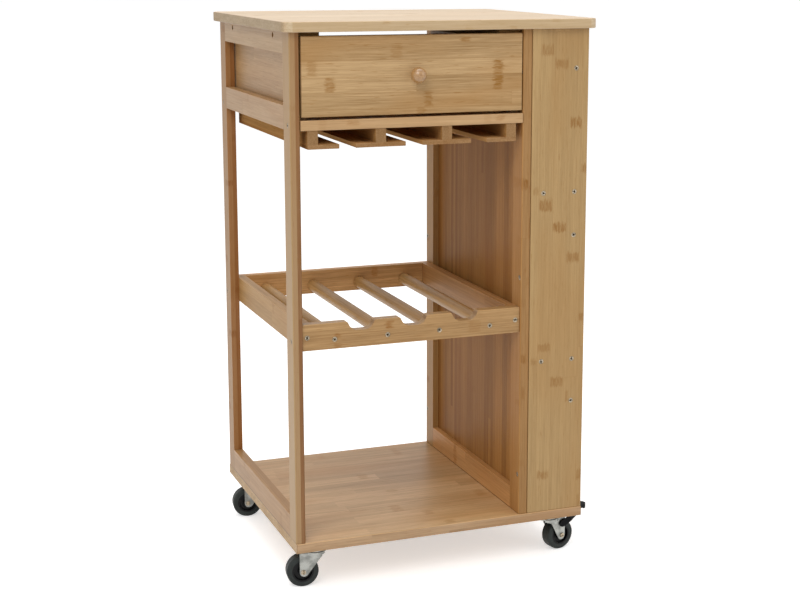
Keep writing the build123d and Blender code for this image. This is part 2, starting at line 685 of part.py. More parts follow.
def brake_lever():
    pivot = (BRAKE_PIVOT_X, -BRAKE_PIVOT_DROP)
    end_x = BRAKE_TIP_CENTRE + BRAKE_TIP_RADIUS
    spine = TangentArc((end_x, -BRAKE_TIP_DROP), pivot, tangent=(-1, 0))
    pedal = SlotArc(spine, BRAKE_THICKNESS) + Pos(BRAKE_TIP_CENTRE, -BRAKE_TIP_DROP) * Rectangle(
        2 * BRAKE_TIP_RADIUS, BRAKE_TOE, align=(Align.MIN, Align.MAX)
    )
    eye = Pos(*pivot) * Circle(BRAKE_EYE)
    wall_end = Pos(BRAKE_WALL_END, -BRAKE_WALL_DROP) * Circle(BRAKE_THICKNESS / 2)
    wall = make_hull(eye.edges() + wall_end.edges()) + pedal
    body = extrude(Plane.XZ * pedal, amount=PAST, both=True) & lever_plan(0)
    body -= Pos(BRAKE_WEB_X, 0, 0) * Box(
        PAST, 2 * CHEEK_INNER, PAST, align=(Align.MAX, Align.CENTER, Align.CENTER)
    )
    walls = extrude(Plane.XZ * wall, amount=PAST, both=True) & lever_plan(0)
    body += walls - lever_plan(BRAKE_CHEEK)
    for y in (-1, 1):
        peg = Cylinder(BRAKE_PEG_RADIUS, CHEEK_OUTER - LEG_INNER, align=STANDING)
        body += along((BRAKE_PIVOT_X, y * LEG_INNER, -BRAKE_PIVOT_DROP), (0, y, 0)) * peg
    return body


def build_casters():
    plates = []
    for name, place in caster_places():
        plates.append(Pos(place.position) * caster_plate())
        nodes[f"{name}_fork"] = place * fork(name in BRAKED)
        nodes[f"{name}_axle"] = place * axle()
        nodes[f"{name}_hub"] = place * hub()
        nodes[f"{name}_tyre"] = place * tyre()
        if name in BRAKED:
            nodes[f"{name}_brake_lever"] = place * brake_lever()
    nodes["caster_plates"] = Compound(plates)


def build_screws():
    wood_screw = screw()
    nodes["frame_screws"] = Compound([place * wood_screw for place in SCREWS])
    shank = Cylinder(SCREW_RADIUS, CASTER_SCREW_LENGTH, align=STANDING)
    head = Cylinder(CASTER_SCREW_HEAD, CASTER_SCREW_HEAD_HEIGHT, align=HANGING)
    plate_screw = Pos(0, 0, -PLATE_THICKNESS) * (shank + head)
    nodes["caster_screws"] = Compound([place * plate_screw for place in plate_screw_places()])


build_frame()
build_drawer_carcass()
build_drawer()
build_hangers()
build_rack()
build_side_unit()
build_casters()
build_screws()

os.makedirs("parts", exist_ok=True)
to_origin = Pos(LEFT_FACE_X, FRONT_FACE_Y, BASE_TOP_Z)
for node, shape in nodes.items():
    placed = to_origin * shape
    placed.label = node
    export_step(placed, f"parts/{node}.step")
print(len(nodes), "nodes")
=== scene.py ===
import math

import bpy
import numpy as np
from mathutils import Matrix, Vector


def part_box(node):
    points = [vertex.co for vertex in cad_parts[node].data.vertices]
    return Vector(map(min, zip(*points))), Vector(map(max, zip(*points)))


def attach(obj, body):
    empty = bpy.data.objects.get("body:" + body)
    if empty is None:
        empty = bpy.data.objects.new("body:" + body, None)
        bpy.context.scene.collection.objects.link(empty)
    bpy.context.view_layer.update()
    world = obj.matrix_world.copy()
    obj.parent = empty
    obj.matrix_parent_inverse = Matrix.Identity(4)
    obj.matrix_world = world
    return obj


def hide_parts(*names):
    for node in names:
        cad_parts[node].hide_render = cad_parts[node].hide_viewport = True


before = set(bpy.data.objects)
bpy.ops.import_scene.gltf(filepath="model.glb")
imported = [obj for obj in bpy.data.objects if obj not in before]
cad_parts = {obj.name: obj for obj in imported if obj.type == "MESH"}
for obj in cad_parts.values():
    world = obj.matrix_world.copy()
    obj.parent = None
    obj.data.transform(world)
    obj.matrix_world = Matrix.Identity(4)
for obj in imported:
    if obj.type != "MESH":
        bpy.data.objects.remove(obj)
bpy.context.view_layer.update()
print("frame loaded:", len(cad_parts), "nodes")


def paint(red, green, blue):
    # a screen colour of 0 to 255 as the linear colour that the sockets take
    levels = np.clip(np.array([red, green, blue], float) / 255, 0, 1)
    linear = np.where(levels <= 0.04045, levels / 12.92, ((levels + 0.055) / 1.055) ** 2.4)
    return (*linear.tolist(), 1.0)


def feed(tree, node, inputs):
    # sockets are linked to the node's inputs, and other values are typed in
    for name, value in inputs.items():
        if isinstance(value, bpy.types.NodeSocket):
            tree.links.new(value, node.inputs[name])
        else:
            node.inputs[name].default_value = value
    return node


def put(tree, kind, inputs=None, **settings):
    # one new shader node with its settings and inputs
    made = tree.nodes.new("ShaderNode" + kind)
    for name, value in settings.items():
        setattr(made, name, value)
    return feed(tree, made, inputs or {})


def calc(tree, operation, *values, clamp=False):
    # one sum on one to three values
    made = put(tree, "Math", dict(enumerate(values)), operation=operation, use_clamp=clamp)
    return made.outputs[0]


def ramp(tree, value, low, high, toLow=0.0, toHigh=1.0):
    # an eased step from toLow at low to toHigh at high
    made = put(tree, "MapRange", {"Value": value, "From Min": low, "From Max": high,
                                  "To Min": toLow, "To Max": toHigh},
               interpolation_type="SMOOTHSTEP")
    return made.outputs["Result"]


def mixColour(tree, share, first, second):
    # the first colour at a share of 0, the second at 1
    made = put(tree, "Mix", {0: share, 6: first, 7: second}, data_type="RGBA")
    return made.outputs[2]


def stretched(tree, vector, *factors):
    # each part of the vector times its own factor
    return put(tree, "VectorMath", {0: vector, 1: factors}, operation="MULTIPLY").outputs[0]


def cloud(tree, vector, detail=2.0):
    # smooth noise around 0.5 with about one bump per unit of the vector
    return put(tree, "TexNoise", {"Vector": vector, "Scale": 1.0, "Detail": detail,
                                  "Roughness": 0.55}).outputs[0]


def newGroup(name, inputs, outputs):
    # a node group with its named inputs and outputs, and the sockets that its own nodes read
    group = bpy.data.node_groups.new(name, "ShaderNodeTree")
    for label, kind, value in inputs:
        socket = group.interface.new_socket(label, in_out="INPUT", socket_type="NodeSocket" + kind)
        if value is not None:
            socket.default_value = value
    for label, kind in outputs:
        group.interface.new_socket(label, in_out="OUTPUT", socket_type="NodeSocket" + kind)
    return group, group.nodes.new("NodeGroupInput").outputs


def finishGroup(group, results):
    # the results go to the group's outputs
    end = group.nodes.new("NodeGroupOutput")
    for label, socket in results.items():
        group.links.new(socket, end.inputs[label])
    return group


def placeGroup(tree, group, inputs):
    # one use of a group, with its own values
    return put(tree, "Group", inputs, node_tree=group).outputs


def newMaterial(name):
    # a material with its node tree and its shader
    material = bpy.data.materials.new(name)
    material.use_nodes = True
    return material, material.node_tree, material.node_tree.nodes["Principled BSDF"]


# The bamboo's figure, in metres. Fibres are noise: bumps per metre along and across the grain,
# and detail. A share is how much one effect adds to another. A step is where it starts to show
# and where it shows in full. A shuffle sends the pattern of one strip or run elsewhere.
grainLook = {
    "fibres": {"broad": (3.5, 150.0, 2.0), "middle": (11.0, 430.0, 3.0), "fine": (40.0, 1000.0, 2.0),
               "flecks": (45.0, 650.0, 2.0), "dashes": (80.0, 450.0, 3.0)},
    "runShuffle": 9.0, "layerShuffle": 17.0, "seedShuffle": 3.7, "jointShuffle": 7.0,
    "tornEnds": (90, 330, 90), "tornDetail": 3.0, "jointChance": (0.2, 0.8),
    "jointStep": (0.008, 0.003), "jointWander": 0.008, "dashStep": (0.34, 0.64), "dashGap": 0.42,
    "broadShare": 0.7, "fineShare": 0.6, "middleTone": 0.45,
    "drift": (4.0, 14.0, 14.0), "driftStep": (0.42, 0.7),
    "fleckStep": (0.6, 0.76), "fleckShare": 0.5,
    "stripSeam": 0.00022, "layerSeam": 0.00015, "endSkin": 0.00003,
    "sideStep": (0.6, 0.85), "endStep": (0.75, 0.97),
    "speckleStep": (0.4, 0.66), "speckleShare": 0.35,
    "roughness": 0.34, "roughFibre": 0.16, "roughJoint": 0.12, "roughEnd": 0.18,
    "grainHeight": 0.35, "seamDepth": 0.5, "jointDepth": 0.3,
}


# One joint of the cane on one strip: a soft box round its middle, whose ends are ragged along the
# grain. With no softness and no raggedness it is a plain thin line.
def makeCaneMarkGroup():
    t, given = newGroup("caneMark", [
        ("Position", "Vector", None), ("Along", "Float", 0.0), ("Across", "Float", 0.0),
        ("Length", "Float", 0.012), ("Width", "Float", 0.02), ("Strength", "Float", 0.7),
        ("Ragged", "Float", 0.018), ("Softness", "Float", 0.002)],
        [("Mask", "Float")])
    place = put(t, "SeparateXYZ", {0: given["Position"]}).outputs
    torn = cloud(t, stretched(t, given["Position"], *grainLook["tornEnds"]), grainLook["tornDetail"])
    ragged = calc(t, "SUBTRACT", torn, 0.5)
    offAlong = calc(t, "ABSOLUTE", calc(t, "SUBTRACT", place["X"], given["Along"]))
    offAlong = calc(t, "MULTIPLY_ADD", ragged, given["Ragged"], offAlong)
    offAcross = calc(t, "ABSOLUTE", calc(t, "SUBTRACT", place["Y"], given["Across"]))
    pastEnd = calc(t, "MULTIPLY_ADD", given["Length"], -0.5, offAlong)
    pastSide = calc(t, "MULTIPLY_ADD", given["Width"], -0.5, offAcross)
    within = calc(t, "MULTIPLY", given["Softness"], -1.0)
    inside = calc(t, "MULTIPLY", ramp(t, pastEnd, calc(t, "MULTIPLY", within, -2.0), within),
                  ramp(t, pastSide, given["Softness"], within))
    return finishGroup(t, {"Mask": calc(t, "MULTIPLY", inside, given["Strength"])})


# Where a board's edges are. How deep a point lies inside the board's box is taken along each
# axis, and the middle one of the three depths is next to nothing only beside an edge. An edge
# that ends the grain is where the board meets its neighbour and is masked for painted shade in
# the join, and the other edges are masked for a painted highlight.
def makeEdgeLineGroup():
    t, given = newGroup("edgeLines", [
        ("Position", "Vector", None), ("Middle", "Vector", None), ("Half Size", "Vector", None),
        ("Line Width", "Float", 0.0013)], [("Painted Highlight", "Float"), ("Joint Shade", "Float")])
    offset = put(t, "VectorMath", {0: given["Position"], 1: given["Middle"]}, operation="SUBTRACT")
    offset = put(t, "VectorMath", {0: offset.outputs[0]}, operation="ABSOLUTE")
    depth = put(t, "VectorMath", {0: given["Half Size"], 1: offset.outputs[0]}, operation="SUBTRACT")
    x, y, z = put(t, "SeparateXYZ", {0: depth.outputs[0]}).outputs
    least = calc(t, "MINIMUM", x, calc(t, "MINIMUM", y, z))
    most = calc(t, "MAXIMUM", x, calc(t, "MAXIMUM", y, z))
    middle = calc(t, "SUBTRACT", calc(t, "ADD", calc(t, "ADD", x, y), z), calc(t, "ADD", least, most))
    edge = ramp(t, middle, given["Line Width"], 0.0)
    nearEnd = calc(t, "LESS_THAN", x, given["Line Width"])
    # painted shade in the join where the grain ends, and a painted highlight along the other edges
    joined = calc(t, "MULTIPLY", calc(t, "MULTIPLY", edge, nearEnd),
                  calc(t, "GREATER_THAN", x, grainLook["endSkin"]))
    edgeHighlight = calc(t, "MULTIPLY", edge, calc(t, "SUBTRACT", 1.0, nearEnd))
    return finishGroup(t, {"Painted Highlight": edgeHighlight, "Joint Shade": joined})


# Strips of bamboo glued side by side and in layers. Position runs along the grain in X, across
# the strips in Y and through the layers in Z. Every strip is made of runs butted end to end.
# A run has its own tone and its own place for the joints of the cane, which are drawn as a
# narrow band of short brown dashes.
def makeBambooGroup():
    t, given = newGroup("bambooStrips", [
        ("Position", "Vector", None), ("Facing", "Vector", None), ("Marks", "Float", 0.0),
        ("Pale", "Color", None), ("Deep", "Color", None), ("Warm", "Color", None),
        ("Cane Joint", "Color", None),
        ("Strip Width", "Float", 0.02), ("Strip Shift", "Float", 0.0),
        ("Layer Height", "Float", 0.005), ("Layer Shift", "Float", 0.0),
        ("Run Length", "Float", 0.6), ("Joint Gap", "Float", 0.27), ("Seed", "Float", 0.0),
        ("Tone Spread", "Float", 0.5), ("Lean", "Float", 0.0), ("Joint Strength", "Float", 0.7),
        ("Fibre Strength", "Float", 0.5), ("Blotch", "Float", 0.4), ("Seam", "Float", 0.35),
        ("Side Shade", "Color", (1, 1, 1, 1)), ("End Grain And Shade", "Color", (1, 1, 1, 1))],
        [("Color", "Color"), ("Roughness", "Float"), ("Height", "Float")])
    place = put(t, "SeparateXYZ", {0: given["Position"]}).outputs
    along, across, through = place["X"], place["Y"], place["Z"]

    # which strip, layer and run a point is in, and where in each of them
    stripPlace = calc(t, "ADD", calc(t, "DIVIDE", across, given["Strip Width"]), given["Strip Shift"])
    layerPlace = calc(t, "ADD", calc(t, "DIVIDE", through, given["Layer Height"]), given["Layer Shift"])
    strip, layer = calc(t, "FLOOR", stripPlace), calc(t, "FLOOR", layerPlace)
    rowKey = put(t, "CombineXYZ", {"X": strip, "Y": layer, "Z": given["Seed"]}).outputs[0]
    rowChance = put(t, "TexWhiteNoise", {"Vector": rowKey}).outputs["Value"]
    runPlace = calc(t, "MULTIPLY_ADD", rowChance, grainLook["runShuffle"],
                    calc(t, "DIVIDE", along, given["Run Length"]))
    run = calc(t, "FLOOR", runPlace)
    runKey = put(t, "CombineXYZ", {
        "X": strip, "Y": calc(t, "MULTIPLY_ADD", layer, grainLook["layerShuffle"], run),
        "Z": calc(t, "ADD", given["Seed"], grainLook["seedShuffle"])}).outputs[0]
    chance = put(t, "TexWhiteNoise", {"Vector": runKey})
    picks = put(t, "SeparateColor", {"Color": chance.outputs["Color"]}).outputs

    # fibres: noise drawn out along the grain, wide ones first, each run with its own
    def fibres(lengthwise, crosswise, detail):
        drawn = stretched(t, given["Position"], lengthwise, crosswise, crosswise)
        return cloud(t, put(t, "VectorMath", {0: drawn, 1: runKey}, operation="ADD").outputs[0], detail)

    broad, middle, fine, flecks, dashes = (fibres(*grainLook["fibres"][kind]) for kind in (
        "broad", "middle", "fine", "flecks", "dashes"))

    # the cane's joints, those by chance and those that were given
    jointPlace = calc(t, "MULTIPLY_ADD", picks["Red"], grainLook["jointShuffle"],
                      calc(t, "DIVIDE", along, given["Joint Gap"]))
    fromJoint = calc(t, "MULTIPLY", calc(t, "SUBTRACT", calc(t, "FRACT", jointPlace), 0.5),
                     given["Joint Gap"])
    wander = calc(t, "MULTIPLY", calc(t, "SUBTRACT", dashes, 0.5), grainLook["jointWander"])
    distance = calc(t, "ABSOLUTE", calc(t, "ADD", fromJoint, wander))
    band = calc(t, "MULTIPLY", ramp(t, distance, *grainLook["jointStep"]),
                ramp(t, picks["Blue"], *grainLook["jointChance"]))
    mark = calc(t, "MAXIMUM", calc(t, "MULTIPLY", band, given["Joint Strength"]), given["Marks"])
    dashed = ramp(t, dashes, *grainLook["dashStep"], grainLook["dashGap"], 1.0)
    joint = calc(t, "MULTIPLY", mark, dashed)

    # tone of the run, its fibres and slow drifts towards a warmer brown
    tone = calc(t, "MULTIPLY", calc(t, "SUBTRACT", picks["Green"], 0.5), given["Tone Spread"])
    odd = calc(t, "SUBTRACT", calc(t, "PINGPONG", strip, 1.0), 0.5)
    tone = calc(t, "ADD", tone, calc(t, "MULTIPLY", odd, given["Lean"]))
    tone = calc(t, "ADD", tone, calc(t, "MULTIPLY", calc(t, "SUBTRACT", broad, 0.5),
                                     grainLook["broadShare"]))
    grain = calc(t, "MULTIPLY_ADD", calc(t, "SUBTRACT", fine, 0.5), grainLook["fineShare"],
                 calc(t, "SUBTRACT", middle, 0.5))
    tone = calc(t, "ADD", tone, calc(t, "MULTIPLY", grain, given["Fibre Strength"]))
    depth = calc(t, "ADD", tone, grainLook["middleTone"], clamp=True)
    wood = mixColour(t, depth, given["Pale"], given["Deep"])
    drift = cloud(t, stretched(t, given["Position"], *grainLook["drift"]))
    warmth = calc(t, "MULTIPLY", ramp(t, drift, *grainLook["driftStep"]), given["Blotch"])
    wood = mixColour(t, warmth, wood, given["Warm"])
    flecked = ramp(t, flecks, *grainLook["fleckStep"], 0.0, grainLook["fleckShare"])
    flecked = calc(t, "MULTIPLY", flecked, given["Fibre Strength"])
    wood = mixColour(t, flecked, wood, given["Cane Joint"])
    marked = mixColour(t, joint, wood, given["Cane Joint"])

    # hairlines between strips, layers and runs
    def hairline(position, size, width):
        edge = calc(t, "ABSOLUTE", calc(t, "SUBTRACT", calc(t, "FRACT", position), 0.5))
        return calc(t, "GREATER_THAN", edge, calc(t, "SUBTRACT", 0.5, calc(t, "DIVIDE", width, size)))

    seam = calc(t, "MAXIMUM", hairline(stripPlace, given["Strip Width"], grainLook["stripSeam"]),
                hairline(runPlace, given["Run Length"], grainLook["stripSeam"]))
    seam = calc(t, "MAXIMUM", seam,
                hairline(layerPlace, given["Layer Height"], grainLook["layerSeam"]))
    lined = mixColour(t, calc(t, "MULTIPLY", seam, given["Seam"]), marked, given["Cane Joint"])

    # the ends of the fibres are speckled, and the sides and ends of a board are tinted: for the ends
    # partly the end grain's own colour, and for both painted light and shade for how each face is lit
    facing = put(t, "SeparateXYZ", {0: given["Facing"]}).outputs
    onSide = ramp(t, calc(t, "ABSOLUTE", facing["Y"]), *grainLook["sideStep"])
    endGrain = ramp(t, calc(t, "ABSOLUTE", facing["X"]), *grainLook["endStep"])
    speckle = ramp(t, middle, *grainLook["speckleStep"], 0.0, grainLook["speckleShare"])
    ends = mixColour(t, speckle, lined, given["Deep"])
    faceShade = mixColour(t, endGrain, mixColour(t, onSide, (1, 1, 1, 1), given["Side Shade"]),
                     given["End Grain And Shade"])
    colour = put(t, "VectorMath", {0: mixColour(t, endGrain, lined, ends), 1: faceShade},
                 operation="MULTIPLY").outputs[0]

    rough = calc(t, "MULTIPLY_ADD", joint, grainLook["roughJoint"], grainLook["roughness"])
    rough = calc(t, "MULTIPLY_ADD", middle, grainLook["roughFibre"], rough)
    rough = calc(t, "MULTIPLY_ADD", endGrain, grainLook["roughEnd"], rough)
    height = calc(t, "MULTIPLY", grain, grainLook["grainHeight"])
    height = calc(t, "SUBTRACT", height, calc(t, "MULTIPLY", seam, grainLook["seamDepth"]))
    height = calc(t, "SUBTRACT", height, calc(t, "MULTIPLY", joint, grainLook["jointDepth"]))
    return finishGroup(t, {"Color": colour, "Roughness": rough, "Height": height})


caneMarkGroup = makeCaneMarkGroup()
edgeLineGroup = makeEdgeLineGroup()
bambooGroup = makeBambooGroup()
print("bamboo's node groups made")


def turned(tree, vector, axes):
    # the vector's parts in the order of axes, such as "zxy" for grain that runs upright
    parts = put(tree, "SeparateXYZ", {0: vector}).outputs
    return put(tree, "CombineXYZ", {slot: parts[part.upper()] for slot, part in zip("XYZ", axes)}
               ).outputs[0]


# What every bamboo piece starts from: a clear satin lacquer over pale strips. The axes are along
# the grain, across the strips and through the layers, wood is the mean colour, and the widths and
# lengths are millimetres. A mark is a joint of the cane: its place along and across from the
# piece's lowest corner, its length, its width and how strong it is. A shadow line is a line of
# painted shade along a gap between parts, given the same way. Sides and ends are the share of
# red, green and blue that the faces across and along the grain keep: for the ends partly the end
# grain's own colour, and for both painted light and shade for how those faces are lit. The edge
# highlight is how strongly a painted highlight shows on a board's outer edges, and the joint shade
# how strongly painted shade shows in its joins to a neighbour.
bambooLook = {
    "axes": "xzy", "wood": (180, 145, 98), "contrast": 1.0, "stripWidth": 23.5, "stripStart": 0.0,
    "layers": 3, "marks": (), "shadowLines": (), "runLength": 900, "jointGap": 260,
    "sides": (1, 1, 1), "ends": (0.86, 0.84, 0.82), "edgeHighlight": 0.3, "joined": 0.75, "polish": 0.28,
    "Seed": 1.0, "Tone Spread": 0.5, "Lean": 0.0, "Joint Strength": 0.6, "Fibre Strength": 0.9,
    "Blotch": 0.3, "Seam": 0.3, "sheen": 0.3, "gloss": 0.08, "relief": 0.12,
    "reliefDepth": 0.0006, "lineSoftness": 0.0003,
}


# Shades of a piece's wood, as shares of its red, green and blue. The pale and deep ones are
# added or taken away as often as the contrast says.
shades = {
    "pale": (0.09, 0.10, 0.12), "deep": (0.13, 0.16, 0.22), "warm": (0.96, 0.87, 0.72),
    # the shade for the joins is painted shade, and the paler one for the edges a painted highlight
    "caneJoint": (0.82, 0.69, 0.42), "joined": (0.5, 0.36, 0.2), "edgeHighlight": (1.2, 1.2, 1.2),
    "brightest": 250,
}
layerSkin = 0.0002  # keeps a board's outer faces off the seams of its layers


def shareOf(levels):
    # shares of a screen colour as a factor on the linear colour
    return (*(float(level) ** 2.2 for level in levels), 1.0)


def bambooMaterial(nodeName, changes):
    # The strips and their marks, with a painted highlight on the outer edges and painted shade in the
    # joins and along the shadow lines laid over them. Pale and deep are the wood's colour made lighter,
    # and darker and richer, by the contrast.
    look = {**bambooLook, **changes}
    material, tree, shader = newMaterial("bamboo_" + nodeName)
    spots = put(tree, "TexCoord").outputs
    order = ["xyz".index(axis) for axis in look["axes"]]
    low, high = (np.array(corner)[order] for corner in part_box(nodeName))
    layerHeight = (high[2] - low[2] + 2 * layerSkin) / look["layers"]
    stripWidth = look["stripWidth"] / 1000
    position = turned(tree, spots["Object"], look["axes"])

    def gathered(marks, **extra):
        # the strongest of the masks at each point
        most = 0.0
        for along, across, length, width, strength in marks:
            mask = placeGroup(tree, caneMarkGroup, {
                "Position": position, "Along": low[0] + along / 1000,
                "Across": low[1] + across / 1000, "Length": length / 1000,
                "Width": width / 1000, "Strength": strength, **extra})["Mask"]
            most = calc(tree, "MAXIMUM", mask, most)
        return most

    def shaded(shade):
        # this piece's wood in one of the shades
        return paint(*np.minimum(wood * shades[shade], shades["brightest"]))

    wood = np.array(look["wood"], float)
    pale = look.get("pale", wood * (1 + np.array(shades["pale"]) * look["contrast"]))
    deep = look.get("deep", wood * (1 - np.array(shades["deep"]) * look["contrast"]))
    strips = placeGroup(tree, bambooGroup, {
        "Position": position, "Facing": turned(tree, spots["Normal"], look["axes"]),
        "Marks": gathered(look["marks"]), "Pale": paint(*pale), "Deep": paint(*deep),
        "Warm": shaded("warm"), "Cane Joint": shaded("caneJoint"),
        "Side Shade": shareOf(look["sides"]), "End Grain And Shade": shareOf(look["ends"]),
        "Strip Width": stripWidth, "Strip Shift": -(low[1] + look["stripStart"] / 1000) / stripWidth,
        "Layer Height": layerHeight, "Layer Shift": -(low[2] - layerSkin) / layerHeight,
        "Run Length": look["runLength"] / 1000, "Joint Gap": look["jointGap"] / 1000,
        **{label: look[label] for label in ("Seed", "Tone Spread", "Lean", "Joint Strength",
                                            "Fibre Strength", "Blotch", "Seam")}})
    edges = placeGroup(tree, edgeLineGroup, {
        "Position": position, "Middle": (low + high) / 2, "Half Size": (high - low) / 2})
    # painted shade in the joins and along the shadow lines, and a painted highlight on the outer edges
    paintedShade = calc(tree, "MAXIMUM", calc(tree, "MULTIPLY", edges["Joint Shade"], look["joined"]),
                gathered(look["shadowLines"], Ragged=0.0, Softness=look["lineSoftness"]))
    colour = mixColour(tree, calc(tree, "MULTIPLY", edges["Painted Highlight"], look["edgeHighlight"]), strips["Color"],
                       shaded("edgeHighlight"))
    colour = mixColour(tree, paintedShade, colour, shaded("joined"))
    bump = put(tree, "Bump", {"Strength": look["relief"], "Distance": look["reliefDepth"],
                              "Height": strips["Height"]})
    feed(tree, shader, {
        "Base Color": colour, "Roughness": strips["Roughness"], "Normal": bump.outputs[0],
        "Specular IOR Level": look["sheen"], "Coat Weight": look["gloss"],
        "Coat Roughness": look["polish"]})
    return material


# looks that several pieces share, and then each piece's own
frontPost = {"axes": "zxy", "stripWidth": 8, "layers": 2, "Tone Spread": 0.2}
leftRail = {"axes": "yzx", "wood": (171, 139, 99), "Joint Strength": 0.25}
innerRail = {**leftRail, "wood": (176, 131, 83), "sheen": 0.1, "gloss": 0.02}
rod = {"axes": "yxz", "wood": (172, 136, 88), "contrast": 1.3, "stripWidth": 6.8, "layers": 4,
       "Joint Strength": 0.3, "edgeHighlight": 0.0, "sheen": 0.15, "gloss": 0.05}
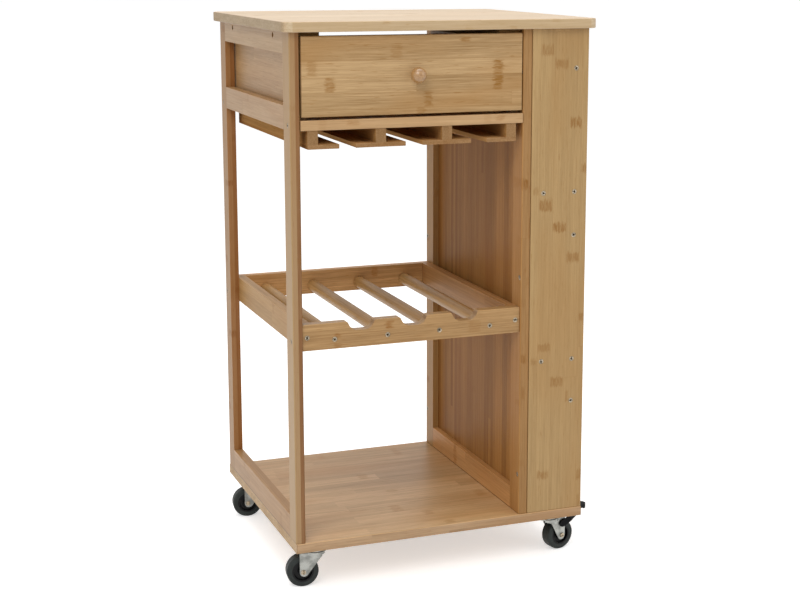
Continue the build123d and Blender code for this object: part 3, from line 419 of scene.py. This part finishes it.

# A piece's sides and ends, where they are given, are partly painted light and shade that make its faces
# lighter or darker for how they are lit.
bambooPieces = {
    "top_board": {"axes": "xyz", "wood": (197, 173, 141), "stripWidth": 21, "Seed": 3,
                  "Tone Spread": 0.35, "Blotch": 0.2, "runLength": 420, "Joint Strength": 0.35,
                  "sides": (1, 1.02, 1.03), "ends": (0.86, 0.86, 0.85)},
    "base_board": {"axes": "xyz", "wood": (192, 156, 111), "stripWidth": 27.5, "Seed": 7,
                   "contrast": 1.25, "Tone Spread": 0.6, "Fibre Strength": 1.2, "Blotch": 0.5,
                   "runLength": 420, "Joint Strength": 0.0, "Seam": 0.12, "sheen": 0.35,
                   "sides": (0.88, 0.89, 0.95), "ends": (0.93, 0.96, 1.0),
                   "marks": ((195, 269, 14, 24, 0.45), (295, 380, 10, 40, 0.35),
                             (218, 183, 16, 12, 0.35), (195, 100, 14, 32, 0.4),
                             (237, 64, 14, 20, 0.4), (254, 13, 12, 15, 0.45),
                             (350, 122, 12, 32, 0.4), (160, 400, 10, 20, 0.3))},
    "front_left_post": {**frontPost, "wood": (158, 124, 84), "pale": (160, 127, 88),
                        "deep": (124, 82, 41), "Lean": 0.95, "Seed": 11, "Joint Strength": 0.3,
                        "sides": (1.09, 1.12, 1.08),
                        "marks": ((437, 11.5, 6, 7, 0.8), (662, 4, 5, 8, 0.3), (204, 11, 5, 7, 0.5))},
    "back_left_post": {**frontPost, "wood": (152, 108, 62), "pale": (160, 116, 72),
                       "deep": (136, 86, 40), "Lean": 0.8, "sides": (1.05, 1.14, 1.22), "Seed": 12,
                       "sheen": 0.2, "gloss": 0.05},
    "front_right_post": {**frontPost, "wood": (158, 121, 79), "Seed": 13, "Joint Strength": 0.2,
                         "sheen": 0.06, "gloss": 0.0, "sides": (1.15, 1.13, 1.08),
                         "marks": ((533, 5, 12, 9, 0.8), (464, 13, 30, 4, 0.5), (255, 5, 12, 8, 0.6),
                                   (200, 5, 20, 5, 0.4), (525, 13, 8, 5, 0.4))},
    "back_right_post": {**frontPost, "wood": (176, 138, 88), "Seed": 14, "sheen": 0.15,
                        "gloss": 0.03},
    "left_top_rail": {**leftRail, "Seed": 15, "Tone Spread": 0.25},
    "left_middle_rail": {**leftRail, "wood": (169, 134, 93), "Seed": 16},
    # its line along the bottom is painted shade in the gap above the base board
    "left_bottom_rail": {**leftRail, "wood": (161, 123, 79), "Seed": 17, "sheen": 0.25,
                         "gloss": 0.05, "shadowLines": ((165, 0, 400, 2.4, 0.85),)},
    "divider_top_rail": {**innerRail, "Seed": 18},
    "divider_middle_rail": {**innerRail, "Seed": 19},
    # its line along the bottom is painted shade in the gap above the base board
    "divider_bottom_rail": {**innerRail, "wood": (194, 145, 92), "Seed": 20,
                            "marks": ((240, 18, 10, 36, 0.6),),
                            "shadowLines": ((165, 0, 400, 2.4, 0.85),)},
    "divider_panel": {"axes": "zyx", "wood": (155, 109, 58), "stripWidth": 9.5, "layers": 1,
                      "Seed": 21, "Tone Spread": 0.75, "runLength": 3000, "Joint Strength": 0.1,
                      "Blotch": 0.35, "sheen": 0.05, "gloss": 0.0},
    "front_drawer_rail": {"wood": (179, 145, 105), "layers": 4, "Seed": 22, "Joint Strength": 0.2,
                          "sheen": 0.15, "gloss": 0.03,
                          "marks": ((80, 10, 16, 7, 0.5), (315, 9, 10, 7, 0.5))},
    "back_drawer_rail": {"Seed": 23},
    "drawer_runners": {"axes": "yzx", "Seed": 24, "sheen": 0.0, "gloss": 0.0},
    "top_cleats": {"axes": "yzx", "Seed": 25, "sheen": 0.0, "gloss": 0.0},
    "drawer_front": {"wood": (173, 142, 101), "stripStart": 10.0, "Seed": 26,
                     "Joint Strength": 0.0, "contrast": 1.25, "Fibre Strength": 1.3, "Blotch": 0.55,
                     "sheen": 0.15, "gloss": 0.03,
                     "marks": ((16, 70, 12, 23, 0.45), (43, 46, 12, 22, 0.7), (146, 93, 14, 20, 0.4),
                               (255, 109, 14, 8, 0.7), (196, 22, 9, 23, 0.7), (185, 5, 10, 9, 0.7),
                               (309, 67, 13, 22, 0.9), (309, 44, 13, 22, 1.0))},
    "drawer_left_side": {"axes": "yzx", "wood": (172, 136, 92), "Seed": 27, "Joint Strength": 0.2,
                         "Fibre Strength": 1.2},
    "drawer_right_side": {"axes": "yzx", "Seed": 28},
    "drawer_back": {"Seed": 29},
    "drawer_bottom": {"axes": "xyz", "wood": (160, 112, 62), "stripWidth": 9.5, "layers": 1,
                      "sheen": 0.1, "gloss": 0.0,
                      "Seed": 30, "runLength": 3000, "Joint Strength": 0.15},
    "drawer_knob": {"axes": "yzx", "wood": (156, 118, 72), "contrast": 1.5, "stripWidth": 9,
                    "Seed": 31, "sheen": 0.5, "gloss": 0.9, "polish": 0.12, "Joint Strength": 0.1,
                    "ends": (1, 1, 1), "edgeHighlight": 0.0, "joined": 0.0},
    "hanger_spacers": {"axes": "yzx", "wood": (172, 130, 80), "Seed": 32, "Joint Strength": 0.3,
                       "sheen": 0.0, "gloss": 0.0, "joined": 0.0, "ends": (0.86, 0.89, 1.0)},
    "hanger_strips": {"axes": "yxz", "wood": (174, 132, 84), "Seed": 33, "Joint Strength": 0.3,
                      "sheen": 0.0, "gloss": 0.0, "joined": 0.0, "ends": (0.88, 0.9, 0.98)},
    "rack_front_rail": {"wood": (170, 134, 88), "stripWidth": 22, "Seed": 34, "Joint Strength": 0.0,
                        "Fibre Strength": 1.2, "contrast": 1.3,
                        "marks": ((137, 30, 9, 12, 1.0), (54, 20, 8, 7, 0.8), (54, 4, 8, 7, 0.8),
                                  (277, 15, 18, 18, 0.35))},
    # its wood is lighter than the rail's own colour, to brighten its shaded front face: painted light
    "rack_back_rail": {"wood": (198, 155, 104), "contrast": 1.4, "stripWidth": 22, "Seed": 35,
                       "Fibre Strength": 1.3, "Blotch": 0.3, "sheen": 0.15, "gloss": 0.03},
    "rack_left_rail": {**innerRail, "wood": (168, 132, 86), "Seed": 36},
    "rack_right_rail": {**innerRail, "Seed": 37},
    "rack_rods": {**rod, "Seed": 38},
    "side_front_board": {"axes": "zxy", "wood": (167, 136, 90), "stripStart": 14.0, "Seed": 39,
                         "Tone Spread": 0.35, "Joint Strength": 0.0, "Blotch": 0.35,
                         "marks": ((737, 25, 13, 20, 0.55), (716, 49, 12, 23, 0.6),
                                   (625, 75, 12, 19, 0.9), (553, 90, 12, 9, 0.7),
                                   (521, 8, 9, 10, 0.4), (498, 25, 14, 22, 0.75),
                                   (462, 49, 12, 23, 0.9), (413, 73, 13, 22, 0.7),
                                   (315, 90, 12, 9, 0.8), (271, 25, 10, 22, 0.6),
                                   (250, 8, 9, 11, 0.5), (213, 48, 13, 22, 0.7),
                                   (187, 66, 18, 5, 0.6), (61, 26, 10, 20, 0.65),
                                   (55, 90, 14, 9, 0.7), (12, 90, 16, 6, 0.6))},
    "side_back_board": {"axes": "zxy", "Seed": 40},
    "upper_shelf": {"axes": "yxz", "Seed": 41},
    "lower_shelf": {"axes": "yxz", "Seed": 42},
    "guard_rods": {**rod, "Seed": 43},
}


def dress(nodeName, material):
    # the whole piece in one material
    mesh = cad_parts[nodeName].data
    mesh.materials.clear()
    mesh.materials.append(material)


for nodeName, changes in bambooPieces.items():
    dress(nodeName, bambooMaterial(nodeName, changes))
print("bamboo:", len(bambooPieces), "pieces")


# bumps per metre, and shares and steps as in the bamboo's figure
platingFigure = {"scratches": (2200, 2200, 160), "cloudDetail": 4.0, "cloudStep": (0.38, 0.66),
                 "cloudShare": 0.75, "flakeShare": 0.25, "roughMottle": 0.16, "roughScratch": 0.12}
mouldingFigure = {"smears": (60, 60, 60), "smearDetail": 4.0, "smearStep": (0.35, 0.75),
                  "roughSmear": 0.2}


# Plated steel: cloudy crystals and fine scratches, darker and duller where it is clouded.
def makePlatingGroup():
    t, given = newGroup("plating", [
        ("Position", "Vector", None), ("Cloud Scale", "Float", 70.0),
        ("Flake Scale", "Float", 1500.0), ("Bright", "Color", None), ("Dark", "Color", None),
        ("Smoothest", "Float", 0.3)],
        [("Color", "Color"), ("Roughness", "Float"), ("Height", "Float")])
    spots = given["Position"]
    clouds = put(t, "TexNoise", {"Vector": spots, "Scale": given["Cloud Scale"],
                                 "Detail": platingFigure["cloudDetail"]})
    flakes = put(t, "TexVoronoi", {"Vector": spots, "Scale": given["Flake Scale"]})
    flakeTone = put(t, "SeparateColor", {"Color": flakes.outputs["Color"]}).outputs["Red"]
    scratches = cloud(t, stretched(t, spots, *platingFigure["scratches"]))
    dull = ramp(t, clouds.outputs[0], *platingFigure["cloudStep"])
    mottle = calc(t, "MULTIPLY_ADD", flakeTone, platingFigure["flakeShare"],
                  calc(t, "MULTIPLY", dull, platingFigure["cloudShare"]))
    rough = calc(t, "MULTIPLY_ADD", scratches, platingFigure["roughScratch"], given["Smoothest"])
    rough = calc(t, "MULTIPLY_ADD", mottle, platingFigure["roughMottle"], rough)
    return finishGroup(t, {"Color": mixColour(t, mottle, given["Bright"], given["Dark"]),
                           "Roughness": rough, "Height": scratches})


# Moulded plastic or rubber: a fine grain of tiny dimples, with dusty smears.
def makeMouldingGroup():
    t, given = newGroup("moulding", [
        ("Position", "Vector", None), ("Dimple Scale", "Float", 1500.0), ("Body", "Color", None),
        ("Dusty", "Color", None), ("Dust", "Float", 0.4), ("Smoothest", "Float", 0.4)],
        [("Color", "Color"), ("Roughness", "Float"), ("Height", "Float")])
    dimples = put(t, "TexVoronoi", {"Vector": given["Position"], "Scale": given["Dimple Scale"]})
    smears = cloud(t, stretched(t, given["Position"], *mouldingFigure["smears"]),
                   mouldingFigure["smearDetail"])
    dusty = ramp(t, smears, *mouldingFigure["smearStep"])
    colour = mixColour(t, calc(t, "MULTIPLY", dusty, given["Dust"]), given["Body"], given["Dusty"])
    rough = calc(t, "MULTIPLY_ADD", dusty, mouldingFigure["roughSmear"], given["Smoothest"])
    return finishGroup(t, {"Color": colour, "Roughness": rough,
                           "Height": dimples.outputs["Distance"]})


platingGroup = makePlatingGroup()
mouldingGroup = makeMouldingGroup()

# what each of the two groups is given, and how its material reflects
plateLook = {"metallic": 1.0, "relief": 0.15, "reliefDepth": 0.0002, "sheen": 0.5}
mouldLook = {"metallic": 0.0, "relief": 0.25, "reliefDepth": 0.0002, "sheen": 0.3}
hardwareLooks = {
    "zinc_plated_steel": {**plateLook, "group": platingGroup, "skin": {
        "Cloud Scale": 70.0, "Flake Scale": 1500.0, "Dark": paint(120, 121, 117),
        "Bright": paint(166, 167, 162), "Smoothest": 0.26}},
    "screw_steel": {**plateLook, "group": platingGroup, "skin": {
        "Cloud Scale": 260.0, "Flake Scale": 900.0, "Dark": paint(112, 101, 84),
        "Bright": paint(188, 174, 152), "Smoothest": 0.32}},
    # the cross in a screw's head gets a darker steel: painted shade in the recess
    "screw_recess_shade": {**plateLook, "group": platingGroup, "skin": {
        "Cloud Scale": 260.0, "Flake Scale": 900.0, "Dark": paint(44, 38, 30),
        "Bright": paint(88, 78, 64), "Smoothest": 0.45}},
    "tyre_rubber": {**mouldLook, "group": mouldingGroup, "skin": {
        "Dimple Scale": 1400.0, "Body": paint(27, 32, 30), "Dusty": paint(62, 68, 66),
        "Dust": 0.5, "Smoothest": 0.5}},
    "hub_plastic": {**mouldLook, "relief": 0.15, "sheen": 0.2, "group": mouldingGroup, "skin": {
        "Dimple Scale": 1800.0, "Body": paint(9, 9, 10), "Dusty": paint(26, 27, 28),
        "Dust": 0.35, "Smoothest": 0.38}},
    "lever_plastic": {**mouldLook, "relief": 0.3, "sheen": 0.08, "group": mouldingGroup, "skin": {
        "Dimple Scale": 1600.0, "Body": paint(5, 5, 6), "Dusty": paint(16, 16, 17),
        "Dust": 0.35, "Smoothest": 0.42}},
}


def hardwareMaterial(name):
    # the group's colour and roughness, with its height as a slight relief
    look = hardwareLooks[name]
    material, tree, shader = newMaterial(name)
    spots = put(tree, "TexCoord").outputs["Object"]
    skin = placeGroup(tree, look["group"], {"Position": spots, **look["skin"]})
    bump = put(tree, "Bump", {"Strength": look["relief"], "Distance": look["reliefDepth"],
                              "Height": skin["Height"]})
    feed(tree, shader, {
        "Base Color": skin["Color"], "Roughness": skin["Roughness"], "Normal": bump.outputs[0],
        "Metallic": look["metallic"], "Specular IOR Level": look["sheen"]})
    return material


zinc, steel, recessShade, tyreRubber, hubPlastic, leverPlastic = map(hardwareMaterial, (
    "zinc_plated_steel", "screw_steel", "screw_recess_shade", "tyre_rubber", "hub_plastic",
    "lever_plastic"))

for corner in ("front_left", "back_left", "front_right", "back_right"):
    dress(corner + "_fork", zinc)
    dress(corner + "_axle", steel)
    dress(corner + "_hub", hubPlastic)
    dress(corner + "_tyre", tyreRubber)
for corner in ("front_right", "back_right"):
    dress(corner + "_brake_lever", leverPlastic)
dress("caster_plates", zinc)
dress("knob_screw", steel)
print("hardware dressed")


def screwPlaces(nodeName):
    # Each screw is one island of the node's mesh. Its axis is the longest side of the island's
    # box, and its head is the end whose points lie further from that axis. Returned are the
    # middle of each head's outer face and the direction that it faces.
    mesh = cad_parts[nodeName].data
    points = np.empty(len(mesh.vertices) * 3)
    mesh.vertices.foreach_get("co", points)
    points, merged = np.unique(points.reshape(-1, 3).round(6), axis=0, return_inverse=True)
    corners = np.empty(len(mesh.loops), int)
    mesh.loops.foreach_get("vertex_index", corners)
    triangles = merged.ravel()[corners].reshape(-1, 3)
    island = np.arange(len(points))
    while True:
        lowest = island[triangles].min(axis=1)
        spread = island.copy()
        np.minimum.at(spread, triangles.ravel(), lowest.repeat(3))
        if (spread == island).all():
            break
        island = spread
    places = []
    for label in np.unique(island):
        part = points[island == label]
        low, high = part.min(axis=0), part.max(axis=0)
        axis = int(np.argmax(high - low))
        middle = (low + high) / 2
        fromAxis = np.linalg.norm(np.delete(part - middle, axis, axis=1), axis=1)
        headSide = 1.0 if part[fromAxis.argmax(), axis] > middle[axis] else -1.0
        top = middle.copy()
        top[axis] = high[axis] if headSide > 0 else low[axis]
        facing = np.zeros(3)
        facing[axis] = headSide
        places.append((top, facing))
    return places


# Wood screws with a countersunk head, and plate screws with a round one, in millimetres. Under
# gives rings below the rim by their radius and height, down to where the point starts.
screwLooks = {
    "wood_screw_heads": {"node": "frame_screws", "radius": 3.95, "crown": 0.25, "rim": 0.0,
                         "under": ((2.0, -2.2), (1.9, -37.0), (0.4, -39.6))},
    "plate_screw_heads": {"node": "caster_screws", "radius": 3.95, "crown": 1.1, "rim": -1.3,
                          "under": ((3.95, -2.3), (2.0, -2.3), (1.9, -13.0), (0.4, -15.2))},
}
crossLook = {"halfLength": 2.4, "halfWidth": 0.7, "depth": 1.5, "slope": 0.45}
screwPoint = 0.4
screwSpin = {"first": 0.7, "step": 2.4}


def screwSurface(look, turns=48, rings=13):
    # A disc in rings and turns. With r as the share of the full radius, the height is the crown
    # times 1 - r², plus the rim times r to the sixth, less the cross. The cross is as deep as
    # the smaller of the room left inside a bar's length and width over the slope, up to its
    # full depth. Under the rim the surface goes on as rings.
    radii = look["radius"] * np.linspace(0, 1, rings)
    angles = np.linspace(0, 2 * np.pi, turns, endpoint=False)
    x, y = radii[:, None] * np.cos(angles), radii[:, None] * np.sin(angles)
    bars = [np.minimum(crossLook["halfLength"] - abs(a), crossLook["halfWidth"] - abs(b))
            for a, b in ((x, y), (y, x))]
    cross = np.clip(np.maximum(*bars) / crossLook["slope"], 0, 1) * crossLook["depth"]
    share = radii[:, None] / look["radius"]
    z = look["crown"] * (1 - share ** 2) + look["rim"] * share ** 6 - cross
    below = np.array(look["under"])
    x = np.vstack([x, below[:, :1] * np.cos(angles)])
    y = np.vstack([y, below[:, :1] * np.sin(angles)])
    z = np.vstack([z, np.repeat(below[:, 1:], turns, axis=1)])
    grid = np.stack([x, y, z], axis=-1) / 1000

    # the first ring is one point, and the last closes on the screw's tip
    ring = np.arange(len(grid) - 1)[:, None] * turns
    here, there = np.arange(turns), (np.arange(turns) + 1) % turns
    quads = np.stack([ring[1:] + here, ring[1:] + turns + here, ring[1:] + turns + there,
                      ring[1:] + there], axis=-1).reshape(-1, 4) - turns + 1
    tip = [[0, 0, grid[-1, 0, 2] - screwPoint / 1000]]
    points = np.vstack([grid[0, :1], grid[1:].reshape(-1, 3), tip])
    last = len(points) - 1
    caps = np.vstack([
        np.stack([0 * here, 1 + here, 1 + there], axis=1),
        np.stack([0 * here + last, last - turns + there, last - turns + here], axis=1)])
    deep = np.zeros(len(points))
    deep[:cross.size - turns + 1] = cross.ravel()[turns - 1:]
    inCross = [deep[faces].max(axis=1) > crossLook["depth"] / 2 for faces in (quads, caps)]
    return points, (quads, caps), np.concatenate(inCross)


def makeScrews(name, look):
    # Copies of one screw, each turned so that its own Z is the direction that its head faces,
    # and spun about it, by one step in radians more than the screw before.
    points, faceKinds, inCross = screwSurface(look)
    allPoints, allFaces = [], []
    for index, (top, facing) in enumerate(screwPlaces(look["node"])):
        side = np.roll(facing, 1)
        other = np.cross(facing, side)
        spin = screwSpin["first"] + screwSpin["step"] * index
        first = side * math.cos(spin) + other * math.sin(spin)
        second = np.cross(facing, first)
        allPoints.append(top + points @ np.stack([first, second, facing]))
        for faces in faceKinds:
            allFaces += (faces + index * len(points)).tolist()
    mesh = bpy.data.meshes.new(name)
    mesh.from_pydata(np.vstack(allPoints).tolist(), [], allFaces)
    mesh.polygons.foreach_set("use_smooth", [True] * len(mesh.polygons))
    mesh.materials.append(steel)
    # the faces in the cross take the darker steel, as painted shade
    mesh.materials.append(recessShade)
    mesh.polygons.foreach_set("material_index", np.tile(inCross.astype("i"), len(allPoints)))
    piece = bpy.data.objects.new(name, mesh)
    bpy.context.collection.objects.link(piece)
    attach(piece, "frame")
    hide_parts(look["node"])
    print(name, len(allPoints), "screws")


for name, look in screwLooks.items():
    makeScrews(name, look)


# The camera stands about where the photograph was taken. Angles are degrees, the lens is
# millimetres and the rest is metres, but the shift is a share of the picture's width.
viewpoint = {"place": (-0.8827, -2.4198, 0.9642), "yaw": 21.847, "pitch": -10.587, "roll": 0.226,
             "lens": 71.825, "shift": (-0.07, -0.06), "sight": 60}


def makeCamera():
    # ahead points along yaw and pitch, right is level, and both turn about ahead by the roll
    yaw, pitch, roll = (math.radians(viewpoint[part]) for part in ("yaw", "pitch", "roll"))
    level = math.cos(pitch)
    ahead = Vector((math.sin(yaw) * level, math.cos(yaw) * level, math.sin(pitch)))
    right = Vector((math.cos(yaw), -math.sin(yaw), 0))
    up = right.cross(ahead)
    rolledRight = right * math.cos(roll) + up * math.sin(roll)
    rolledUp = up * math.cos(roll) - right * math.sin(roll)
    camera = bpy.data.objects.new("camera", bpy.data.cameras.new("camera"))
    bpy.context.collection.objects.link(camera)
    turn = Matrix((rolledRight, rolledUp, -ahead)).transposed()
    camera.matrix_world = Matrix.Translation(viewpoint["place"]) @ turn.to_4x4()
    camera.data.lens = viewpoint["lens"]
    camera.data.shift_x, camera.data.shift_y = viewpoint["shift"]
    camera.data.clip_end = viewpoint["sight"]
    bpy.context.scene.camera = camera


makeCamera()

floorLook = {"halfSize": 30.0, "colour": (0.9, 0.9, 0.9, 1), "roughness": 0.9, "sheen": 0.1,
             "whiteness": 0.5}


def seenRays(tree):
    # 1 where the camera, a mirror or glass looks, 0 where light is only scattered
    rays = put(tree, "LightPath").outputs
    return calc(tree, "MAXIMUM", rays["Is Camera Ray"],
                calc(tree, "MAXIMUM", rays["Is Glossy Ray"], rays["Is Transmission Ray"]))


def makeFloor():
    # a pale square that keeps the object's shadow and looks white elsewhere
    size = floorLook["halfSize"]
    mesh = bpy.data.meshes.new("floor")
    mesh.from_pydata([(-size, -size, 0), (size, -size, 0), (size, size, 0), (-size, size, 0)], [],
                     [(0, 1, 2, 3)])
    floor = bpy.data.objects.new("floor", mesh)
    bpy.context.collection.objects.link(floor)
    material, tree, shader = newMaterial("floor")
    feed(tree, shader, {
        "Base Color": floorLook["colour"], "Roughness": floorLook["roughness"],
        "Specular IOR Level": floorLook["sheen"], "Emission Color": (1, 1, 1, 1),
        "Emission Strength": calc(tree, "MULTIPLY", seenRays(tree), floorLook["whiteness"])})
    mesh.materials.append(material)


makeFloor()

# three square lamps, in metres and watts
lights = {
    "key": {"place": (-1.9, -2.6, 3.2), "aim": (0, 0, 0.5), "size": 2.2, "power": 62},
    "fill": {"place": (2.6, -2.4, 2.0), "aim": (0, 0, 0.4), "size": 2.4, "power": 22},
    "ceiling": {"place": (0, 0.2, 3.4), "aim": (0, 0, 0), "size": 2.6, "power": 48},
}


def makeLights():
    # each lamp looks from its place towards its aim
    for name, light in lights.items():
        lamp = bpy.data.lights.new(name, "AREA")
        lamp.shape = "SQUARE"
        lamp.size = light["size"]
        lamp.energy = light["power"]
        holder = bpy.data.objects.new(name, lamp)
        bpy.context.collection.objects.link(holder)
        holder.location = light["place"]
        aim = Vector(light["aim"]) - Vector(light["place"])
        holder.rotation_euler = aim.to_track_quat("-Z", "Y").to_euler()


makeLights()

# how bright the room is to the object, and how much is added where it is seen or mirrored
roomLook = {"plain": 0.55, "added": 0.45}


def makeWorld():
    # a white room: plain light on the object, and pure white behind it
    world = bpy.data.worlds.new("studio")
    bpy.context.scene.world = world
    world.use_nodes = True
    tree = world.node_tree
    strength = calc(tree, "MULTIPLY_ADD", seenRays(tree), roomLook["added"], roomLook["plain"])
    feed(tree, tree.nodes["Background"], {"Color": (1, 1, 1, 1), "Strength": strength})


makeWorld()
print("camera, floor, lamps and room placed")
bpy.context.scene.view_settings.view_transform = "Standard"
